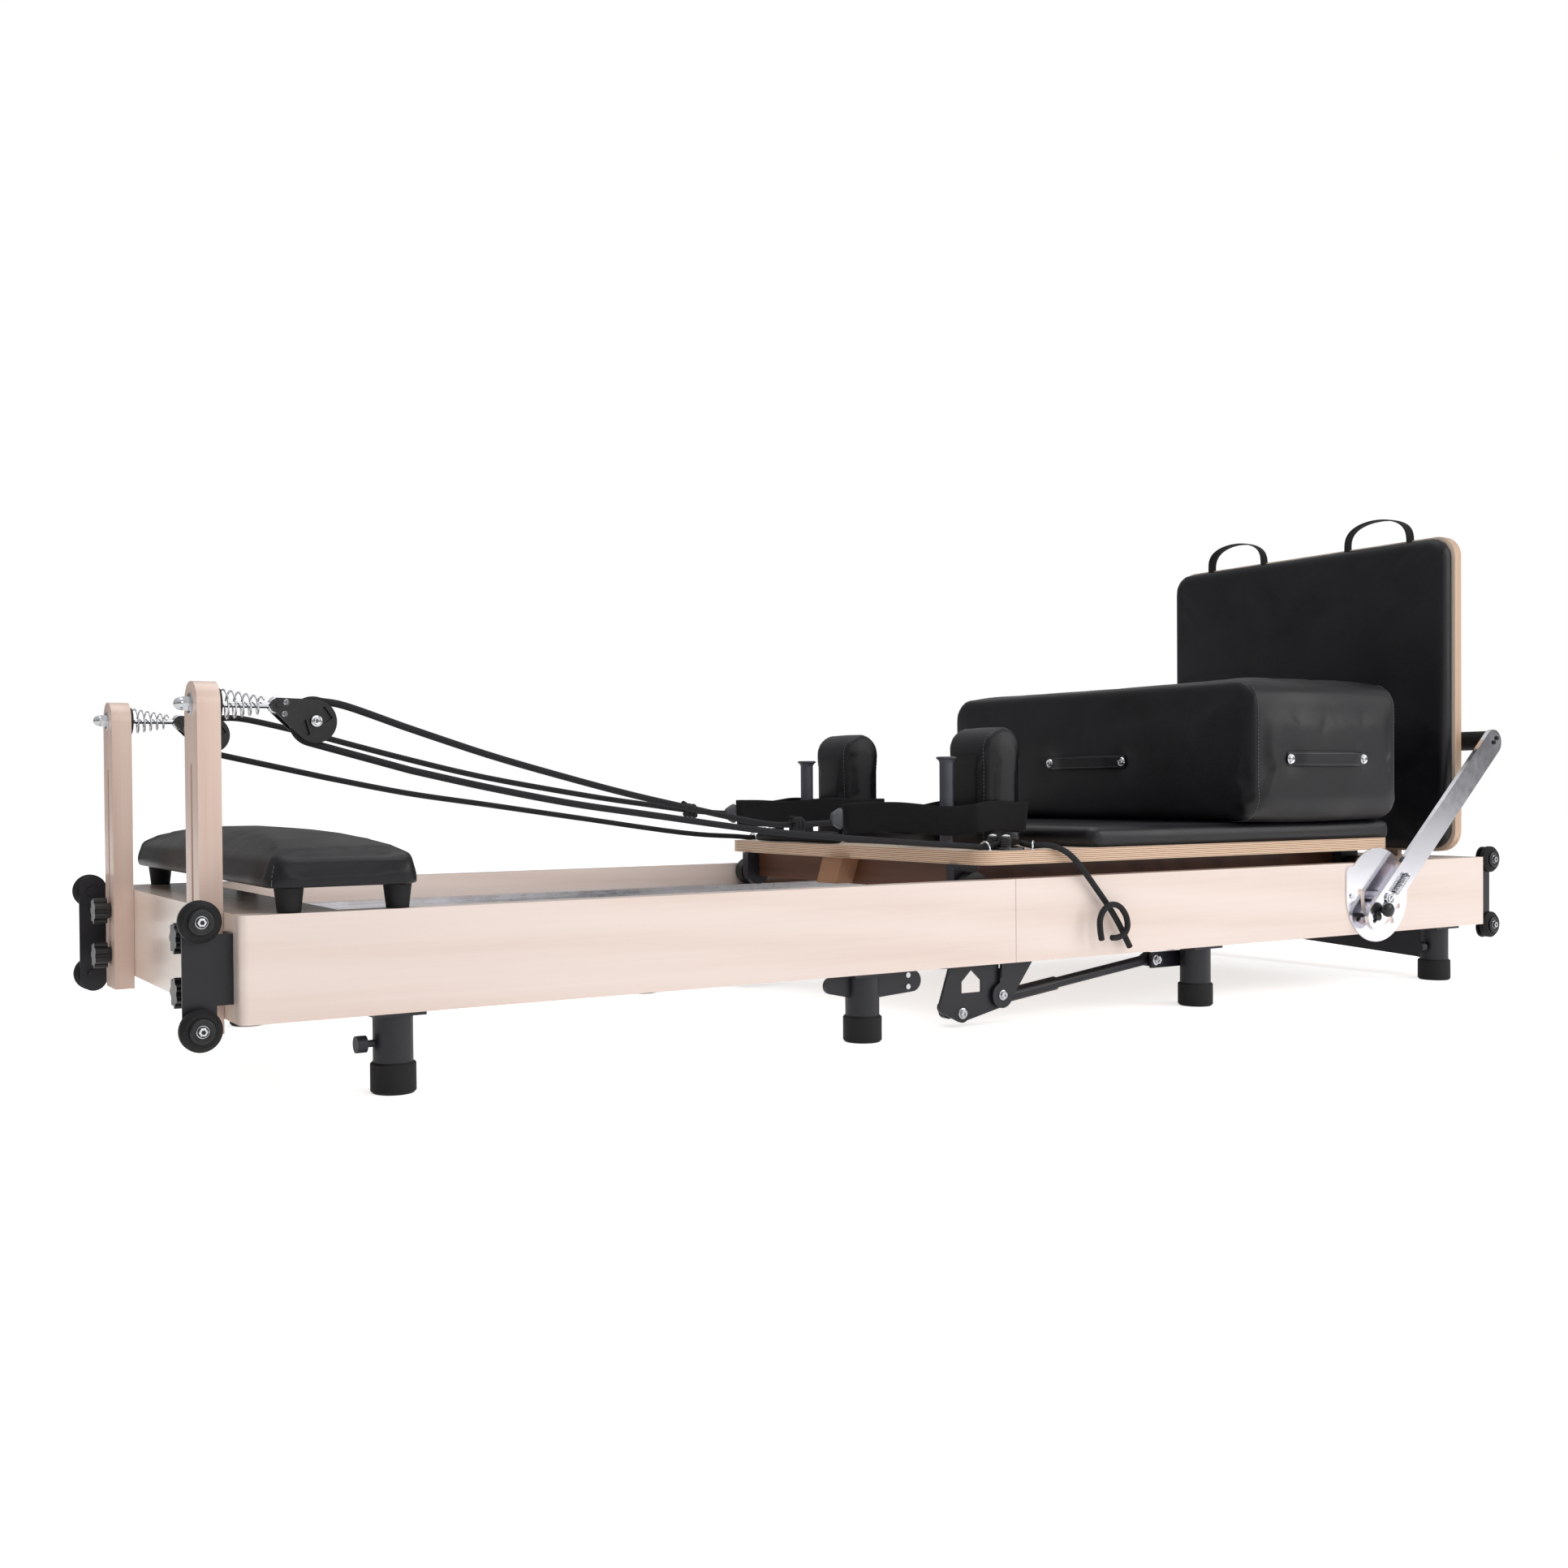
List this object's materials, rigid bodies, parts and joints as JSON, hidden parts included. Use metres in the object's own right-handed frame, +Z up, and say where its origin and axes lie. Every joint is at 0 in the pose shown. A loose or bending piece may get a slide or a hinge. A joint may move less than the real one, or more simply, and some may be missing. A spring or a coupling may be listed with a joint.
{
  "type": "pilates reformer",
  "caption": "Folding maple reformer with a padded sprung carriage, shoulder rests, pulley posts with ropes, foot bar, jump board, sitting box and padded step",
  "frame": {"origin": "on the floor under the middle of the frame, at the fold", "axes": "+X along the length towards the foot bar and jump board, -Y towards the near side, +Z up"},
  "size_m": [2.4816, 0.793, 0.888],
  "materials": {
    "maple": "clear satin lacquer",
    "plywood": "clear lacquer with visible plies",
    "dark_wood": "stained",
    "powder_coat": "fine satin powder coat",
    "rubber": "matte",
    "aluminium": "satin anodised",
    "bright_steel": "polished",
    "steel": "zinc plated",
    "leather": "matte grained upholstery",
    "webbing": "woven webbing",
    "rope": "braided cord",
    "wheel_plastic": "satin",
    "grey_plastic": "satin"
  },
  "bodies": {
    "right_frame": {"rails_right": "maple", "end_boards_right": "maple", "tracks_right": "aluminium", "legs_right": "powder_coat", "feet_right": "rubber", "hinge_plates_right": "powder_coat", "wheel_brackets_right": "powder_coat", "lock_plates": "bright_steel", "spring_bar": "steel", "screws_right": "steel", "springs": "steel"},
    "left_frame": {"rails_left": "maple", "end_boards_left": "maple", "tracks_left": "aluminium", "legs_left": "powder_coat", "feet_left": "rubber", "hinge_plates_left": "powder_coat", "wheel_brackets_left": "powder_coat", "screws_left": "steel", "rope_near": "rope", "rope_far": "rope"},
    "wheels_left_upper": {"wheels_left_upper": "wheel_plastic"},
    "wheels_left_lower": {"wheels_left_lower": "wheel_plastic"},
    "wheels_right_upper": {"wheels_right_upper": "wheel_plastic"},
    "wheels_right_lower": {"wheels_right_lower": "wheel_plastic"},
    "post_near": {"post_near": "maple", "post_fittings_near": "bright_steel"},
    "post_far": {"post_far": "maple", "post_fittings_far": "bright_steel"},
    "pulley_near": {"pulley_block_near": "powder_coat"},
    "pulley_far": {"pulley_block_far": "powder_coat"},
    "sheave_near": {"sheave_near": "wheel_plastic"},
    "sheave_far": {"sheave_far": "wheel_plastic"},
    "knob_near_upper": {"knob_near_upper": "wheel_plastic"},
    "knob_near_lower": {"knob_near_lower": "wheel_plastic"},
    "knob_far_upper": {"knob_far_upper": "wheel_plastic"},
    "knob_far_lower": {"knob_far_lower": "wheel_plastic"},
    "carriage": {"carriage_board": "plywood", "carriage_pad": "leather", "carriage_subframe": "dark_wood", "wheel_carriers": "powder_coat", "shoulder_rests": "leather", "peg_handles": "grey_plastic", "cleats": "wheel_plastic", "foot_loops": "webbing", "hand_grip": "rubber", "rope_tail": "rope"},
    "carriage_wheels_front": {"carriage_wheels_front": "wheel_plastic"},
    "carriage_wheels_rear": {"carriage_wheels_rear": "wheel_plastic"},
    "sitting_box": {"sitting_box": "leather"},
    "jump_board": {"jump_board": "plywood", "jump_pad": "leather", "pull_loops": "webbing"},
    "foot_bar": {"footbar_arms": "bright_steel", "footbar_roller": "leather"},
    "footbar_latches": {"footbar_latches": "powder_coat"},
    "strut_rods": {"strut_rods": "steel"},
    "strut_cylinders": {"strut_cylinders": "powder_coat"},
    "stool": {"stool_pad": "leather", "stool_legs": "rubber"}
  },
  "joints": [
    {"name": "fold", "type": "hinge", "parent": "right_frame", "child": "left_frame", "pos_m": [0, 0, 0.047], "axis": [0, -1, 0], "range_deg": [0, 180]},
    {"name": "carriage_slide", "type": "slide", "parent": "right_frame", "child": "carriage", "axis": [1, 0, 0], "range_m": [-0.74, 0], "stiffness_N_per_m": 200, "springref_m": 0.25, "deforming": ["springs", "rope_near", "rope_far"]},
    {"name": "carriage_wheels_front_roll", "type": "hinge", "parent": "carriage", "child": "carriage_wheels_front", "pos_m": [-0.047, 0, 0.214], "axis": [0, 1, 0], "continuous": true},
    {"name": "carriage_wheels_rear_roll", "type": "hinge", "parent": "carriage", "child": "carriage_wheels_rear", "pos_m": [0.86, 0, 0.214], "axis": [0, 1, 0], "continuous": true},
    {"name": "sitting_box_lift", "type": "slide", "parent": "carriage", "child": "sitting_box", "axis": [0, 0, 1], "range_m": [0, 0.35]},
    {"name": "jump_board_lift", "type": "slide", "parent": "right_frame", "child": "jump_board", "axis": [0, 0, 1], "range_m": [0, 0.3]},
    {"name": "stool_lift", "type": "slide", "parent": "left_frame", "child": "stool", "axis": [0, 0, 1], "range_m": [0, 0.06]},
    {"name": "foot_bar_swing", "type": "hinge", "parent": "right_frame", "child": "foot_bar", "pos_m": [0.858, 0, 0.163], "axis": [0, 1, 0], "range_deg": [0, 55]},
    {"name": "footbar_latch", "type": "slide", "parent": "foot_bar", "child": "footbar_latches", "axis": [-0.7385, 0, -0.6743], "range_m": [0, 0.01], "stiffness_N_per_m": 300, "springref_m": 0.01},
    {"name": "post_near_height", "type": "slide", "parent": "left_frame", "child": "post_near", "axis": [0, 0, 1], "range_m": [-0.06, 0]},
    {"name": "post_far_height", "type": "slide", "parent": "left_frame", "child": "post_far", "axis": [0, 0, 1], "range_m": [-0.06, 0]},
    {"name": "pulley_near_tilt", "type": "hinge", "parent": "post_near", "child": "pulley_near", "pos_m": [-1.1, -0.258, 0.475], "axis": [0, 1, 0], "range_deg": [-40, 40], "stiffness_Nm_per_rad": 3},
    {"name": "pulley_far_tilt", "type": "hinge", "parent": "post_far", "child": "pulley_far", "pos_m": [-1.1, 0.258, 0.475], "axis": [0, 1, 0], "range_deg": [-40, 40], "stiffness_Nm_per_rad": 3},
    {"name": "sheave_near_spin", "type": "hinge", "parent": "pulley_near", "child": "sheave_near", "pos_m": [-1.054, -0.258, 0.456], "axis": [0, 1, 0], "continuous": true},
    {"name": "sheave_far_spin", "type": "hinge", "parent": "pulley_far", "child": "sheave_far", "pos_m": [-1.054, 0.258, 0.456], "axis": [0, 1, 0], "continuous": true},
    {"name": "knob_near_upper_turn", "type": "hinge", "parent": "left_frame", "child": "knob_near_upper", "pos_m": [-1.2, -0.258, 0.196], "axis": [1, 0, 0], "continuous": true},
    {"name": "knob_near_lower_turn", "type": "hinge", "parent": "left_frame", "child": "knob_near_lower", "pos_m": [-1.2, -0.258, 0.131], "axis": [1, 0, 0], "continuous": true},
    {"name": "knob_far_upper_turn", "type": "hinge", "parent": "left_frame", "child": "knob_far_upper", "pos_m": [-1.2, 0.258, 0.196], "axis": [1, 0, 0], "continuous": true},
    {"name": "knob_far_lower_turn", "type": "hinge", "parent": "left_frame", "child": "knob_far_lower", "pos_m": [-1.2, 0.258, 0.131], "axis": [1, 0, 0], "continuous": true},
    {"name": "wheels_left_upper_roll", "type": "hinge", "parent": "left_frame", "child": "wheels_left_upper", "pos_m": [-1.216, 0, 0.221], "axis": [0, 1, 0], "continuous": true},
    {"name": "wheels_left_lower_roll", "type": "hinge", "parent": "left_frame", "child": "wheels_left_lower", "pos_m": [-1.216, 0, 0.096], "axis": [0, 1, 0], "continuous": true},
    {"name": "wheels_right_upper_roll", "type": "hinge", "parent": "right_frame", "child": "wheels_right_upper", "pos_m": [1.216, 0, 0.221], "axis": [0, 1, 0], "continuous": true},
    {"name": "wheels_right_lower_roll", "type": "hinge", "parent": "right_frame", "child": "wheels_right_lower", "pos_m": [1.216, 0, 0.096], "axis": [0, 1, 0], "continuous": true},
    {"name": "strut_rods_tilt", "type": "hinge", "parent": "right_frame", "child": "strut_rods", "pos_m": [0.358, 0, 0.077], "axis": [0, -1, 0], "range_deg": [-5.96, 0.5]},
    {"name": "strut_cylinders_slide", "type": "slide", "parent": "strut_rods", "child": "strut_cylinders", "axis": [0.9925, 0, 0.1222], "range_m": [-0.002, 0.1552]}
  ],
  "couplings": [
    {"joint": "strut_rods_tilt", "follows": "fold", "ratio": -0.03145},
    {"joint": "strut_cylinders_slide", "follows": "fold", "m_per_rad": 0.04876},
    {"joint": "carriage_wheels_front_roll", "follows": "carriage_slide", "rad_per_m": 42.194},
    {"joint": "carriage_wheels_rear_roll", "follows": "carriage_slide", "rad_per_m": 42.194}
  ]
}
